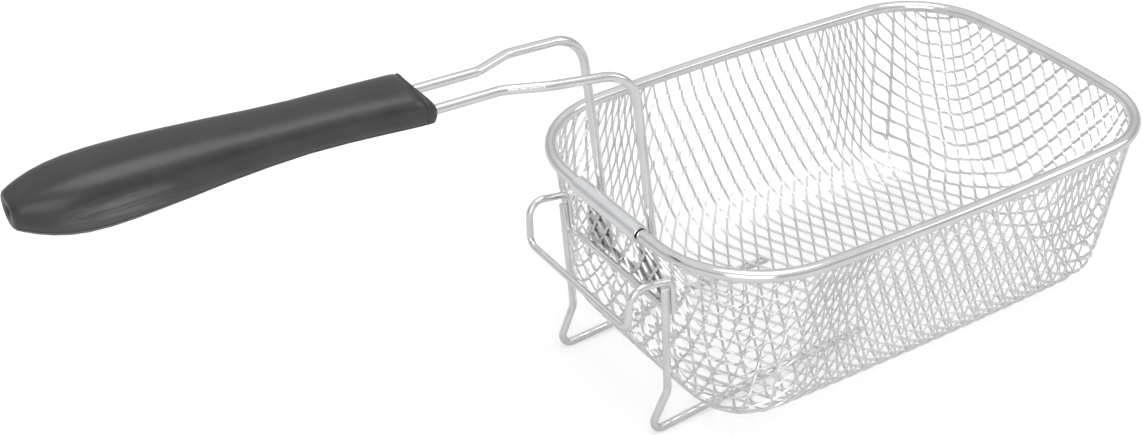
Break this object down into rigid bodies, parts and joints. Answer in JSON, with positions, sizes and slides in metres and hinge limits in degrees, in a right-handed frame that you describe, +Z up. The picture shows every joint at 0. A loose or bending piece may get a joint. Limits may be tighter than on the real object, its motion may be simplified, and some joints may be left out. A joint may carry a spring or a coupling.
{
  "type": "deep fryer basket",
  "caption": "Rectangular basket of pressed wire mesh with a rim wire, an arched two-rod handle with a black grip, a front hook and two wire legs.",
  "frame": {"origin": "under the middle of the whole object's box, on the level of the feet", "axes": "+X from the grip to the far end of the basket, +Y across to the left side, +Z up"},
  "size_m": [0.435, 0.1548, 0.1686],
  "materials": {
    "bright_wire": "bright plated wire",
    "bright_sheet": "bright plated sheet",
    "mesh_sheet": "plated expanded sheet",
    "grip_black": "matte moulded"
  },
  "bodies": {
    "root": {"rim": "bright_wire", "mesh_basket": "mesh_sheet", "handle_bracket": "bright_sheet", "handle_wire": "bright_wire", "grip": "grip_black", "front_hook": "bright_wire", "left_leg": "bright_wire", "right_leg": "bright_wire"}
  },
  "joints": []
}
